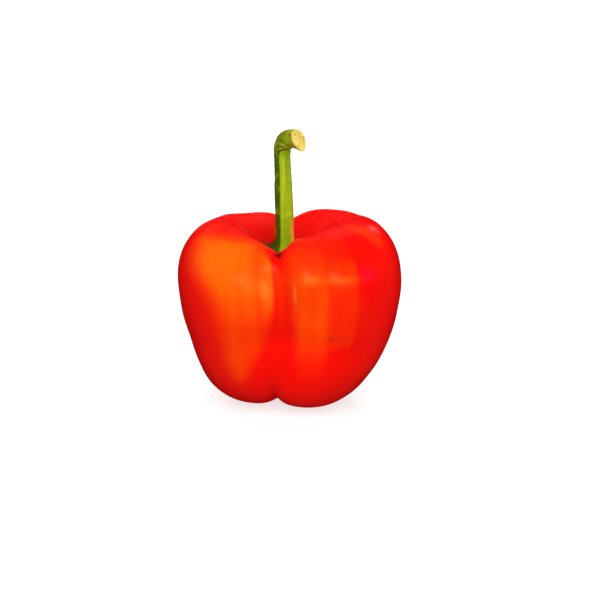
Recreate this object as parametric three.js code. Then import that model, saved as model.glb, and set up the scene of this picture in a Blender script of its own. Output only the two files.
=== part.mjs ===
// Bell pepper: a four-lobed fruit, the calyx in its stem cavity and a ribbed stem with a hooked top.
// Millimetres, +Z up. The fruit stands on the feet of its lobes and its front looks along -Y.
// The stem cavity and the blossom-end dimple lie on one upright axis, the fruit's axis.

import * as THREE from 'three';
import { mergeVertices } from 'three/addons/utils/BufferGeometryUtils.js';

// ---------------------------------------------------------------------------------------------
// Driving dimensions
// ---------------------------------------------------------------------------------------------

// Half sections of the fruit as [distance from the axis, height], from the floor of the stem cavity over
// the shoulder to the blossom end. They are control points of smooth curves: one follows the ridge of a
// lobe and the other the valley between two lobes. Both share their ends on the axis.
const RIDGE_SECTION = [
  [0, 58.5], [5, 57.5], [10.5, 59.5], [13.5, 65], [20, 72.5], [27.5, 76.5], [37, 72], [44.5, 59.5],
  [44, 43.5], [40, 28], [33, 13.5], [23.5, 4.5], [12.5, 1.5], [5, 6], [0, 7],
];
const VALLEY_SECTION = [
  [0, 58.5], [5, 57.5], [9.5, 59], [13.5, 62.5], [19, 68], [26.5, 72.5], [34, 69.5], [37.5, 58.5],
  [37, 45], [34, 31], [27.5, 19.5], [19, 13], [11, 8], [5, 6], [0, 7],
];

// The valleys at the front, right, rear and left. Depths are shares of the step from ridge to valley section;
// a furrow is the crease in the middle of a valley, in millimetres. shoulderTurn and footTurn swing its ends, in degrees.
const VALLEY = {
  azimuth: [-91.5, 27.5, 87, 152],
  shoulderDepth: [1.5, 0.45, 1.5, 0.6],
  waistDepth: [1.7, 1.1, 1.1, 0.9],
  footDepth: [0.4, 0.6, 0.8, 0.9],
  shoulderTurn: [-2.5, 0, 0, 0],
  footTurn: [-10, -11, 0, 0],
  shoulderFurrow: [3.5, 0.5, 1, 0.4],
  waistFurrow: [2.2, 1.2, 1.2, 1.2],
  footFurrow: [2.4, 1, 1, 1],
};

// The lobes at the front right, rear right, rear left and front left: how far each stands out from the
// ridge section at three heights, and how much its shoulder rises and its foot lifts, in millimetres.
const LOBE = {
  shoulderReach: [0.5, 2, -3, -2],
  waistReach: [1.2, -0.3, -0.5, -2.6],
  footReach: [0.8, 0.6, 0.6, -0.4],
  shoulderRise: [-0.3, -3.5, -4, -1],
  footLift: [0.2, 0.2, 0.1, 0.5],
};

// Faint dents that run down a lobe between its valleys: place in turns round the fruit, depth and half width.
// A dent of negative depth is a swelling.
const DENTS = [
  { turn: 0.1, depth: -1.6, halfWidth: 0.06 },
  { turn: 0.37, depth: 0.8, halfWidth: 0.1 },
  { turn: 3.55, depth: 0.5, halfWidth: 0.12 },
];

// How rounded a valley's floor and its furrow are, and how wide the furrow is, in turns round the fruit.
const VALLEY_SOFTNESS = { shoulder: 0.35, waist: 0.55, foot: 0.115 };
const FURROW_SOFTNESS = { shoulder: 0.015, waist: 0.07, foot: 0.03 };
const FURROW_WIDTH = { shoulder: 0.1, waist: 0.1, foot: 0.046 };

// Where one stretch of the fruit gives way to the next: heights as shares of SHOULDER_TOP, radii in millimetres.
const SHOULDER_TOP = 75.5;
const SHOULDER_BAND = [0.55, 0.92];
const FOOT_BAND = [0.06, 0.42];
const CAVITY_WALL = [7, 22];
const FURROW_START = [6, 15];

// How much of the lowest foot is pressed flat on the table.
const FOOT_PATCH = 0.8;

const CALYX = {
  reach: [11.5, 9.5, 11.5, 13],
  tipLength: 3,
  tips: 6,
  gap: 0.35,
  rimThickness: 0.7,
  middleThickness: 1.5,
  bossHeight: 60.4,
  bossRadius: 5,
  bossFoot: 8.2,
};

// The stem's centre line, from its seat on the calyx up to the middle of its cut end.
const STEM_LINE = [
  [0, 0, 60.7], [0.1, 0, 65], [0, 0, 72], [-0.2, 0, 81], [-0.5, 0, 90], [-0.7, 0, 97],
  [-0.4, -0.3, 100.8], [0.9, -1.8, 103.1], [3.1, -4.1, 103.6], [5.4, -6.4, 103.4],
];
// The stem's radius and the roundness of its ribbed section, each at shares of its length: it has a wide
// seat, a slim and sharply ribbed middle and a swollen, rounder end.
const STEM_RADIUS = [[0, 4.4], [0.06, 4], [0.16, 3.8], [0.42, 3.7], [0.6, 3.4], [0.75, 3.35], [0.82, 3.5], [0.9, 3.5], [1, 3.5]];
const STEM_ROUNDNESS = [[0, 0.6], [0.12, 0.3], [0.75, 0.3], [0.9, 0.65], [1, 0.8]];
const STEM_RIBS = 5;
const STEM_RIB_AZIMUTH = -113.5;
const STEM_TWIST = 9;
// The cut across the stem's end slants: over the last stretch its upper side is drawn back and its lower
// side drawn out by this share of their height over the middle.
const STEM_CUT_SLOPE = 0.55;
const STEM_CUT_STRETCH = [0.86, 1];

// Fineness of the meshes.
const FRUIT_ROUND = 64;
const FRUIT_ROWS = 42;
const CALYX_ROUND = 48;
const CALYX_ROWS = 5;
const STEM_ROUND = 20;
const STEM_RINGS = 36;

// ---------------------------------------------------------------------------------------------
// Small helpers
// ---------------------------------------------------------------------------------------------

const { degToRad, smoothstep, lerp } = THREE.MathUtils;

/** Four values set a quarter turn apart, joined by a smooth wave that passes through each of them. */
function wave([a, b, c, d], turn) {
  const angle = (Math.PI / 2) * turn;
  const mean = (a + b + c + d) / 4;
  return mean + ((a - c) / 2) * Math.cos(angle) + ((b - d) / 2) * Math.sin(angle)
    + ((a - b + c - d) / 4) * Math.cos(2 * angle);
}

/**
 * A point on the smooth curve of a half section and the curve's outward normal there. The curve is a
 * uniform cubic B-spline whose ends are mirrored across the axis, so that it crosses the axis level.
 */
function sectionAt(section, share) {
  const mirrored = ([radius, height]) => [-radius, height];
  const points = [mirrored(section[1]), ...section, mirrored(section.at(-2))];
  const spans = section.length - 1;
  const place = Math.min(share * spans, spans - 1e-9);
  const first = Math.floor(place);
  const f = place - first;
  const weights = [(1 - f) ** 3, 3 * f ** 3 - 6 * f ** 2 + 4, -3 * f ** 3 + 3 * f ** 2 + 3 * f + 1, f ** 3];
  const slopes = [-((1 - f) ** 2), 3 * f ** 2 - 4 * f, -3 * f ** 2 + 2 * f + 1, f ** 2];
  const sum = (factors, axis) => factors.reduce((total, w, i) => total + w * points[first + i][axis], 0);
  const run = sum(slopes, 0);
  const rise = sum(slopes, 1);
  const length = Math.hypot(run, rise);
  return {
    radius: sum(weights, 0) / 6,
    height: sum(weights, 1) / 6,
    normal: [-rise / length, run / length],
  };
}

/** Straight-line interpolation in a list of [place, value] pairs. */
function alongList(pairs, place) {
  const next = Math.max(1, pairs.findIndex(([at]) => at >= place));
  const [fromPlace, fromValue] = pairs[next - 1];
  const [toPlace, toValue] = pairs[next];
  return lerp(fromValue, toValue, (place - fromPlace) / (toPlace - fromPlace));
}

/** A closed body from rings of points, all of one length, that is closed by a single point at either end. */
function solidFromRings(startPoint, rings, endPoint) {
  const count = rings[0].length;
  const positions = [startPoint, ...rings.flat(), endPoint].flatMap((p) => p.toArray());
  const last = rings.length * count + 1;
  const at = (ring, i) => 1 + ring * count + (i % count);
  const index = [];
  for (let i = 0; i < count; i += 1) {
    index.push(0, at(0, i), at(0, i + 1));
    for (let ring = 0; ring < rings.length - 1; ring += 1) {
      const [a, b] = [at(ring, i), at(ring, i + 1)];
      const [c, d] = [at(ring + 1, i + 1), at(ring + 1, i)];
      index.push(a, d, c, a, c, b);
    }
    index.push(last, at(rings.length - 1, i + 1), at(rings.length - 1, i));
  }
  const geometry = new THREE.BufferGeometry();
  geometry.setAttribute('position', new THREE.Float32BufferAttribute(positions, 3));
  geometry.setIndex(index);
  const merged = mergeVertices(geometry, 1e-4);
  merged.computeVertexNormals();
  return merged;
}

// ---------------------------------------------------------------------------------------------
// Fruit
// ---------------------------------------------------------------------------------------------

/**
 * A point of the fruit's skin. turn runs 0..4 round the fruit, with whole numbers in the valleys and halves
 * on the ridges; share runs 0..1 from the cavity's floor to the blossom end.
 */
function fruitPoint(turn, share) {
  const ridge = sectionAt(RIDGE_SECTION, share);
  const valley = sectionAt(VALLEY_SECTION, share);

  // How much of the shoulder, the foot and the waist between them is felt at this height.
  const level = ridge.height / SHOULDER_TOP;
  const shoulder = smoothstep(level, ...SHOULDER_BAND);
  const foot = 1 - smoothstep(level, ...FOOT_BAND);
  const waist = 1 - shoulder - foot;
  const blend = (atShoulder, atWaist, atFoot) => atShoulder * shoulder + atWaist * waist + atFoot * foot;
  const atLevel = (values) => blend(values.shoulder, values.waist, values.foot);

  // Across a lobe the skin swells from the valley, 0, to the ridge, 1, with a rounded valley floor.
  const offset = Math.abs(turn - Math.round(turn));
  const soft = atLevel(VALLEY_SOFTNESS);
  const climb = (Math.hypot(2 * offset, soft) - soft) / (Math.hypot(1, soft) - soft);
  const swell = climb * (2 - climb);
  const depth = blend(wave(VALLEY.shoulderDepth, turn), wave(VALLEY.waistDepth, turn), wave(VALLEY.footDepth, turn));
  const sunk = (1 - swell) * depth;
  let radius = lerp(ridge.radius, valley.radius, sunk);
  let height = lerp(ridge.height, valley.height, sunk);

  // The furrow in each valley and the dents of the lobes press the skin in along its normal.
  const rim = smoothstep(radius, ...CAVITY_WALL);
  const crease = atLevel(FURROW_SOFTNESS);
  const furrow = blend(wave(VALLEY.shoulderFurrow, turn), wave(VALLEY.waistFurrow, turn), wave(VALLEY.footFurrow, turn))
    * Math.exp((crease - Math.hypot(offset, crease)) / atLevel(FURROW_WIDTH))
    * smoothstep(radius, ...FURROW_START);
  const dents = DENTS.reduce((sum, d) => sum + d.depth * Math.exp(-(((turn - d.turn) / d.halfWidth) ** 2)), 0);
  const press = furrow + dents * rim * (1 - foot);
  radius -= press * ridge.normal[0];
  height -= press * ridge.normal[1];

  // Each lobe has its own reach, shoulder and foot.
  const lobe = turn - 0.5;
  height += wave(LOBE.shoulderRise, lobe) * shoulder * rim * (0.3 + 0.7 * swell);
  height += wave(LOBE.footLift, lobe) * foot * rim * swell;
  const reach = blend(wave(LOBE.shoulderReach, lobe), wave(LOBE.waistReach, lobe), wave(LOBE.footReach, lobe));
  radius += rim * reach * (0.5 + 0.5 * swell);

  const shift = VALLEY.azimuth.map((azimuth, i) => azimuth - (VALLEY.azimuth[0] + 90 * i));
  const azimuth = degToRad(VALLEY.azimuth[0] + 90 * turn + wave(shift, turn) 
    + wave(VALLEY.shoulderTurn, turn) * shoulder + wave(VALLEY.footTurn, turn) * foot);
  return new THREE.Vector3(radius * Math.cos(azimuth), radius * Math.sin(azimuth), height);
}

/** Places round the fruit, closer together near the valleys, where the skin bends most. */
function turnsRound(count) {
  return Array.from({ length: count }, (_, i) => {
    const even = (4 * i) / count;
    return even - 0.1 * Math.sin(2 * Math.PI * even);
  });
}

/** The fruit's skin as one closed body, its lowest feet trimmed flat where they press on a table. */
function fruitGeometry() {
  const turns = turnsRound(FRUIT_ROUND);
  const shares = Array.from({ length: FRUIT_ROWS - 1 }, (_, row) => (row + 1) / FRUIT_ROWS);
  const rings = shares.map((share) => turns.map((turn) => fruitPoint(turn, share)));
  const footLevel = Math.min(...rings.flat().map((p) => p.z)) + FOOT_PATCH;
  rings.flat().forEach((p) => { p.z = Math.max(p.z, footLevel); });
  return solidFromRings(fruitPoint(0, 0), rings, fruitPoint(0, 1));
}

// ---------------------------------------------------------------------------------------------
// Calyx
// ---------------------------------------------------------------------------------------------

/** How far along the skin the calyx reaches on each side: its rim runs out in short pointed tips. */
function calyxEdge(turn) {
  const phase = ((turn / 4) * CALYX.tips) % 1;
  const tip = (1 - Math.abs(2 * phase - 1)) ** 2;
  const reach = wave(CALYX.reach, turn) + CALYX.tipLength * (tip - 0.35);
  const spacing = RIDGE_SECTION[2][0] / 2;
  return reach / (spacing * (RIDGE_SECTION.length - 1));
}

/** The calyx as one closed body that lies on the skin of the cavity and has a flat boss for the stem. */
function calyxGeometry() {
  const turns = Array.from({ length: CALYX_ROUND }, (_, i) => (4 * i) / CALYX_ROUND);
  const under = (turn, share) => fruitPoint(turn, share).add(new THREE.Vector3(0, 0, CALYX.gap));
  const over = (turn, share, part) => {
    const p = under(turn, share);
    const radius = Math.hypot(p.x, p.y);
    const leaf = p.z + lerp(CALYX.middleThickness, CALYX.rimThickness, part);
    p.z = lerp(CALYX.bossHeight, leaf, smoothstep(radius, CALYX.bossRadius, CALYX.bossFoot));
    return p;
  };
  const parts = Array.from({ length: CALYX_ROWS }, (_, i) => (i + 1) / CALYX_ROWS);
  const lower = parts.map((part) => turns.map((turn) => under(turn, part * calyxEdge(turn))));
  const upper = parts.map((part) => turns.map((turn) => over(turn, part * calyxEdge(turn), part)));
  return solidFromRings(over(0, 0, 0), [...upper, ...lower.reverse()], under(0, 0));
}

// ---------------------------------------------------------------------------------------------
// Stem
// ---------------------------------------------------------------------------------------------

/** Radius of a polygon with rounded sides, in shares of its corner radius, at an angle from its first corner. */
function ribShape(angle, roundness) {
  const half = Math.PI / STEM_RIBS;
  const fromCorner = THREE.MathUtils.euclideanModulo(angle, 2 * half) - half;
  const polygon = Math.cos(half) / Math.cos(fromCorner);
  return lerp(polygon, 1, roundness);
}

/** The stem as one closed body: a ribbed section carried along its line, cut level at its seat and aslant at its top. */
function stemGeometry() {
  const line = new THREE.CatmullRomCurve3(STEM_LINE.map((p) => new THREE.Vector3(...p)), false, 'centripetal');
  const frames = line.computeFrenetFrames(STEM_RINGS, false);
  const forward = new THREE.Vector3(Math.cos(degToRad(STEM_RIB_AZIMUTH)), Math.sin(degToRad(STEM_RIB_AZIMUTH)), 0);
  const start = Math.atan2(forward.dot(frames.binormals[0]), forward.dot(frames.normals[0]));
  const rings = Array.from({ length: STEM_RINGS + 1 }, (_, ring) => {
    const share = ring / STEM_RINGS;
    const centre = line.getPointAt(share);
    const size = alongList(STEM_RADIUS, share);
    const roundness = alongList(STEM_ROUNDNESS, share);
    const slope = STEM_CUT_SLOPE * smoothstep(share, ...STEM_CUT_STRETCH);
    const seat = start + degToRad(STEM_TWIST * share);
    return Array.from({ length: STEM_ROUND }, (__, i) => {
      const angle = (2 * Math.PI * i) / STEM_ROUND;
      const radius = size * ribShape(angle, roundness);
      const spoke = frames.normals[ring].clone().multiplyScalar(radius * Math.cos(seat + angle))
        .addScaledVector(frames.binormals[ring], radius * Math.sin(seat + angle));
      return centre.clone().add(spoke).addScaledVector(frames.tangents[ring], -slope * spoke.z);
    });
  });
  rings[0].forEach((p) => { p.z = STEM_LINE[0][2]; });
  return solidFromRings(line.getPointAt(0), rings, line.getPointAt(1));
}

// ---------------------------------------------------------------------------------------------
// Assembly
// ---------------------------------------------------------------------------------------------

/** A named mesh with a finish of its own, its faces turned outwards. */
function piece(name, geometry, { color, roughness }) {
  const { array } = geometry.attributes.position;
  const index = geometry.index.array;
  const corner = (i) => new THREE.Vector3().fromArray(array, 3 * index[i]);
  let volume = 0;
  for (let i = 0; i < index.length; i += 3) {
    volume += corner(i).dot(corner(i + 1).cross(corner(i + 2)));
  }
  if (volume < 0) {
    index.reverse();
    geometry.computeVertexNormals();
  }
  const mesh = new THREE.Mesh(geometry, new THREE.MeshStandardMaterial({ color, roughness, metalness: 0 }));
  mesh.name = name;
  return mesh;
}

const pepper = new THREE.Group();
pepper.add(
  piece('fruit', fruitGeometry(), { color: 0xe8220a, roughness: 0.22 }),
  piece('calyx', calyxGeometry(), { color: 0x3f5a14, roughness: 0.6 }),
  piece('stem', stemGeometry(), { color: 0x8fa81c, roughness: 0.5 }),
);

// The origin is under the middle of the pepper, on the surface that it stands on.
const box = new THREE.Box3().setFromObject(pepper);
const middle = box.getCenter(new THREE.Vector3());
pepper.position.set(-middle.x, -middle.y, -box.min.z);

export default pepper;
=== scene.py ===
"""A ripe bell pepper on a pale studio floor.

The fruit's glossy skin, the leafy calyx in its stem cavity and the ribbed, hooked stem are surfaces
worked out as whole arrays in millimetres, moved into the frame's place and dressed in node-based
finishes. The surfaces follow the same sections, valleys and lines as the solid part.
"""

import logging
import math
from dataclasses import dataclass, field
from enum import Enum
from typing import Any, Mapping, Sequence

import bpy
import numpy as np
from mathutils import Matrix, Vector


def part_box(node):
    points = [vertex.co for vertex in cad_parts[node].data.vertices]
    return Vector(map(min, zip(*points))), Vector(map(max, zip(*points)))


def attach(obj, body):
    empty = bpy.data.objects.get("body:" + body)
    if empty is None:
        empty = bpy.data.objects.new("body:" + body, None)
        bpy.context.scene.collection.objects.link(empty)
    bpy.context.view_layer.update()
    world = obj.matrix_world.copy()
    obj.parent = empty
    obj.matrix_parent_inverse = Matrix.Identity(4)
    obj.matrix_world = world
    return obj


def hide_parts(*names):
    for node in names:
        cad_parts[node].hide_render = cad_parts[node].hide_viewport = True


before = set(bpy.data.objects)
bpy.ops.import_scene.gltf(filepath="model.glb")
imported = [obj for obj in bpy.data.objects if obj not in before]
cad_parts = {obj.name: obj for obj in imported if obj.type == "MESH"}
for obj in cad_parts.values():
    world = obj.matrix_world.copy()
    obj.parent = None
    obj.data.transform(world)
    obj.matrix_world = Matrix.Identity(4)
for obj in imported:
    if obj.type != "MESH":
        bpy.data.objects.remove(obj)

LOG = logging.getLogger("pepper")
ROOT = "root"
MM = 0.001
SEED = 11
NOT_ZERO = 1e-12
TURNS = 4

Array = np.ndarray
Pair = tuple[float, float]
Colour = tuple[float, float, float]
Place = tuple[float, float, float]
Four = tuple[float, float, float, float]


class Slot(Enum):
    """Names for the three material slots."""

    SKIN = "skin"
    CALYX = "calyx"
    STEM = "stem"


# ---------------------------------------------------------------------------------------------
# Array helpers
# ---------------------------------------------------------------------------------------------

def ease(value: Array, low: float, high: float) -> Array:
    """A smooth step from 0 at low to 1 at high: 3 t squared - 2 t cubed of the clipped share t."""
    share = np.clip((value - low) / (high - low), 0.0, 1.0)
    return share * share * (3.0 - 2.0 * share)


def between(value: Array, rise: Pair, fall: Pair) -> Array:
    """A smooth step up over the first span, times a smooth step down over the second."""
    return ease(value, *rise) * (1 - ease(value, *fall))


def bell(value: Array, middle: float, width: float) -> Array:
    """A bell curve of height 1 round middle: e to the minus of (distance / width) squared."""
    return np.exp(-(((value - middle) / width) ** 2))


@dataclass(frozen=True)
class Bump:
    """A bell-shaped rise, or a dip of negative height: its middle, height and half width."""

    middle: float
    height: float
    half_width: float


def bumps(value: Array, parts: Sequence[Bump]) -> Array:
    """The sum of some bumps at each value."""
    return sum(part.height * bell(value, part.middle, part.half_width) for part in parts)


def wave(values: Sequence[float], turn: Array) -> Array:
    """Joins four values that lie a quarter turn apart by a smooth wave.

    It is their mean plus a whole wave through the first pair and the second pair of opposites, and a
    double wave for the rest.

    Args:
        values: the values at turns 0, 1, 2 and 3.
        turn: places round the fruit, 0 to 4.

    Returns:
        The wave's value at each place.
    """
    a, b, c, d = values
    angle = math.pi / 2 * turn
    return ((a + b + c + d) / 4 + (a - c) / 2 * np.cos(angle) + (b - d) / 2 * np.sin(angle)
            + (a - b + c - d) / 4 * np.cos(2 * angle))


def section_at(section: Sequence[Pair], share: Array) -> tuple[Array, Array]:
    """Points and outward normals of a half section: a uniform cubic B-spline mirrored at its ends.

    Args:
        section: control points as (distance from the axis, height).
        share: places along the section, 0 to 1.

    Returns:
        The points and the unit normals, each with a last axis of (outwards, up).
    """
    control = np.array(section, float)
    mirror = np.array([-1.0, 1.0])
    control = np.vstack([control[1] * mirror, control, control[-2] * mirror])
    spans = len(section) - 1
    place = np.clip(np.asarray(share, float) * spans, 0.0, spans - 1e-9)
    first = np.floor(place).astype(int)
    f = (place - first)[..., None]
    weights = ((1 - f) ** 3, 3 * f**3 - 6 * f**2 + 4, -3 * f**3 + 3 * f**2 + 3 * f + 1, f**3)
    slopes = (-((1 - f) ** 2), 3 * f**2 - 4 * f, -3 * f**2 + 2 * f + 1, f**2)
    points = sum(w * control[first + i] for i, w in enumerate(weights)) / 6
    runs = sum(s * control[first + i] for i, s in enumerate(slopes))
    runs = runs / (np.linalg.norm(runs, axis=-1, keepdims=True) + NOT_ZERO)
    return points, np.stack([-runs[..., 1], runs[..., 0]], -1)


def ripples(points: Array, count: int, shortest: float, longest: float, seed: int) -> Array:
    """A soft random unevenness: the mean of sine waves of random direction, length and phase.

    Args:
        points: places in millimetres, with a last axis of x, y and z.
        count: how many waves are added.
        shortest: the shortest wave, in millimetres.
        longest: the longest wave, in millimetres.
        seed: fixes the draw.

    Returns:
        A height for each place, mostly between -1 and 1.
    """
    draw = np.random.default_rng(seed)
    heading = draw.normal(size=(3, count))
    heading /= np.linalg.norm(heading, axis=0)
    heading *= 2 * math.pi / draw.uniform(shortest, longest, count)
    phase = draw.uniform(0, 2 * math.pi, count)
    return np.sin(points @ heading + phase).sum(-1) / math.sqrt(count)


def on_cylinder(azimuth: Array, height: Array, radius: float) -> Array:
    """Places on a plain cylinder, where a pattern can be drawn out along a piece."""
    return np.stack(np.broadcast_arrays(radius * np.cos(azimuth), radius * np.sin(azimuth), height), -1)


def grid_normals(grid: Array) -> Array:
    """Unit normals of a closed grid of rings: the cross product of its steps along and across."""
    across = np.roll(grid, -1, axis=1) - np.roll(grid, 1, axis=1)
    along = np.gradient(grid, axis=0)
    normals = np.cross(across, along)
    return normals / (np.linalg.norm(normals, axis=-1, keepdims=True) + NOT_ZERO)


def carry(mesh: bpy.types.Mesh, values: Mapping[str, Array]) -> None:
    """Writes attributes to the points of a closed body; an end point gets the mean of its ring.

    Args:
        mesh: the closed body's mesh.
        values: attributes by name; each is an array of (ring, place) or (ring, place, xyz).
    """
    for key, value in values.items():
        width = value.shape[2:]
        ends = [value[0].mean(0)[None], value[-1].mean(0)[None]]
        whole = np.concatenate([ends[0], value.reshape(-1, *width), ends[1]])
        kind, slot = ("FLOAT_VECTOR", "vector") if width else ("FLOAT", "value")
        mesh.attributes.new(key, kind, "POINT").data.foreach_set(slot, whole.astype(np.float32).ravel())


def closed_body(name: str, start: Array, rings: Array, end: Array,
                values: Mapping[str, Array]) -> bpy.types.Object:
    """A closed mesh from rings of points with one point at either end, its faces turned outwards.

    Args:
        name: the piece's name.
        start: the point that closes the first ring, in metres.
        rings: the rings as an array of (ring, place round it, xyz), in metres.
        end: the point that closes the last ring, in metres.
        values: attributes by name; each is an array of (ring, place) or (ring, place, xyz).

    Returns:
        The new object, linked to the scene.
    """
    rows, around, _ = rings.shape
    points = np.vstack([start[None], rings.reshape(-1, 3), end[None]])
    here = 1 + np.arange(rows * around).reshape(rows, around)
    beside = np.roll(here, -1, axis=1)
    sides = np.stack([here[:-1], beside[:-1], beside[1:], here[1:]], -1).reshape(-1, 4)
    caps = np.concatenate([
        np.stack([np.zeros(around, int), beside[0], here[0]], -1),
        np.stack([np.full(around, rows * around + 1), here[-1], beside[-1]], -1),
    ])
    # The signed volume of all triangles is negative where the faces point inwards.
    triangles = np.concatenate([sides[:, [0, 1, 2]], sides[:, [0, 2, 3]], caps])
    a, b, c = (points[triangles[:, i]] for i in range(3))
    if np.einsum("ij,ij->i", a, np.cross(b, c)).sum() < 0:
        sides, caps = sides[:, ::-1], caps[:, ::-1]

    mesh = bpy.data.meshes.new(name)
    corners = np.concatenate([sides.ravel(), caps.ravel()]).astype(np.int32)
    counts = np.concatenate([np.full(len(sides), 4), np.full(len(caps), 3)]).astype(np.int32)
    mesh.vertices.add(len(points))
    mesh.vertices.foreach_set("co", points.astype(np.float32).ravel())
    mesh.loops.add(len(corners))
    mesh.loops.foreach_set("vertex_index", corners)
    mesh.polygons.add(len(counts))
    mesh.polygons.foreach_set("loop_start", (np.cumsum(counts) - counts).astype(np.int32))
    mesh.polygons.foreach_set("use_smooth", np.ones(len(counts), bool))
    mesh.update(calc_edges=True)
    mesh.validate()
    carry(mesh, values)
    made = bpy.data.objects.new(name, mesh)
    bpy.context.scene.collection.objects.link(made)
    return made


# ---------------------------------------------------------------------------------------------
# Shader helpers
# ---------------------------------------------------------------------------------------------

COLOUR_INPUTS = ("Base Color", "Specular Tint", "Emission Color")
MIX_SHARE, MIX_FIRST, MIX_SECOND, MIX_RESULT = 0, 6, 7, 2


class Signal:
    """A shader output used in Python expressions: each operator adds one Math node."""

    def __init__(self, board: "NodeBoard", socket: bpy.types.NodeSocket) -> None:
        """Keeps the socket and the board that its node stands on."""
        self.board = board
        self.socket = socket

    def _math(self, operation: str, first: Any, second: Any) -> "Signal":
        """One Math node on two values or signals."""
        return self.board.node("ShaderNodeMath", {"operation": operation}, {0: first, 1: second})

    def __add__(self, other: Any) -> "Signal":
        """This plus other."""
        return self._math("ADD", self, other)

    __radd__ = __add__

    def __sub__(self, other: Any) -> "Signal":
        """This less other."""
        return self._math("SUBTRACT", self, other)

    def __rsub__(self, other: Any) -> "Signal":
        """Other less this."""
        return self._math("SUBTRACT", other, self)

    def __mul__(self, other: Any) -> "Signal":
        """This times other."""
        return self._math("MULTIPLY", self, other)

    __rmul__ = __mul__

    def kept(self) -> "Signal":
        """This, clipped to 0 to 1."""
        return self.board.node("ShaderNodeClamp", {}, {"Value": self})

    def step(self, low: float, high: float) -> "Signal":
        """A smooth step from 0 at low to 1 at high."""
        return self.board.node("ShaderNodeMapRange", {"interpolation_type": "SMOOTHSTEP"},
                               {"Value": self, "From Min": low, "From Max": high})


def rgba(colour: Any) -> Any:
    """A plain colour with full alpha added; a signal stays as it is."""
    return colour if isinstance(colour, Signal) else (*colour, 1.0)


class NodeBoard:
    """The node tree of one material, with one method that adds any node."""

    def __init__(self, name: str) -> None:
        """Starts a material of this name whose tree holds only its output."""
        self.material = bpy.data.materials.new(name)
        self.material.use_nodes = True
        self.tree = self.material.node_tree
        self.tree.nodes.remove(self.tree.nodes["Principled BSDF"])

    def node(self, kind: str, settings: Mapping[str, Any], inputs: Mapping[Any, Any],
             out: Any = 0) -> Signal:
        """Adds a node.

        Args:
            kind: the node's type.
            settings: its properties, which are set first.
            inputs: a value or a signal for each input, by name or number.
            out: the output that is returned, by name or number.

        Returns:
            The chosen output.
        """
        made = self.tree.nodes.new(kind)
        for key, value in settings.items():
            setattr(made, key, value)
        for key, value in inputs.items():
            if isinstance(value, Signal):
                self.tree.links.new(value.socket, made.inputs[key])
            else:
                made.inputs[key].default_value = value
        return Signal(self, made.outputs[out])

    def value(self, name: str) -> Signal:
        """A number that the mesh carries."""
        return self.node("ShaderNodeAttribute", {"attribute_name": name}, {}, "Fac")

    def place(self, name: str) -> Signal:
        """A place that the mesh carries."""
        return self.node("ShaderNodeAttribute", {"attribute_name": name}, {}, "Vector")

    def own_place(self) -> Signal:
        """The place on the object itself, in metres."""
        return self.node("ShaderNodeTexCoord", {}, {}, "Object")

    def cloud(self, place: Signal, scale: float, detail: float = 3.0, lean: float = 0.5) -> Signal:
        """Soft noise between 0 and 1 at a place: waves per metre, finer layers and their weight."""
        return self.node("ShaderNodeTexNoise", {}, {
            "Vector": place, "Scale": scale, "Detail": detail, "Roughness": lean})

    def dots(self, place: Signal, scale: float) -> Signal:
        """Distance to the nearest of scattered points, in cells of a scale."""
        return self.node("ShaderNodeTexVoronoi", {}, {"Vector": place, "Scale": scale}, "Distance")

    def blend(self, share: Signal, first: Any, second: Any) -> Signal:
        """A colour between two colours: the first where share is 0 and the second where it is 1."""
        inputs = {MIX_SHARE: share, MIX_FIRST: rgba(first), MIX_SECOND: rgba(second)}
        return self.node("ShaderNodeMix", {"data_type": "RGBA"}, inputs, MIX_RESULT)

    def relief(self, height: Signal, depth: float) -> Signal:
        """A normal for fine relief of a depth in metres."""
        return self.node("ShaderNodeBump", {}, {"Height": height, "Distance": depth, "Strength": 1.0})

    def surface(self, inputs: Mapping[str, Any]) -> bpy.types.Material:
        """Ends the tree in one Principled shader with these inputs and returns the material."""
        made = {key: rgba(value) if key in COLOUR_INPUTS else value for key, value in inputs.items()}
        shader = self.node("ShaderNodeBsdfPrincipled", {}, made)
        self.tree.links.new(shader.socket, self.tree.nodes["Material Output"].inputs["Surface"])
        return self.material


# ---------------------------------------------------------------------------------------------
# Finishes
# ---------------------------------------------------------------------------------------------

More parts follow.
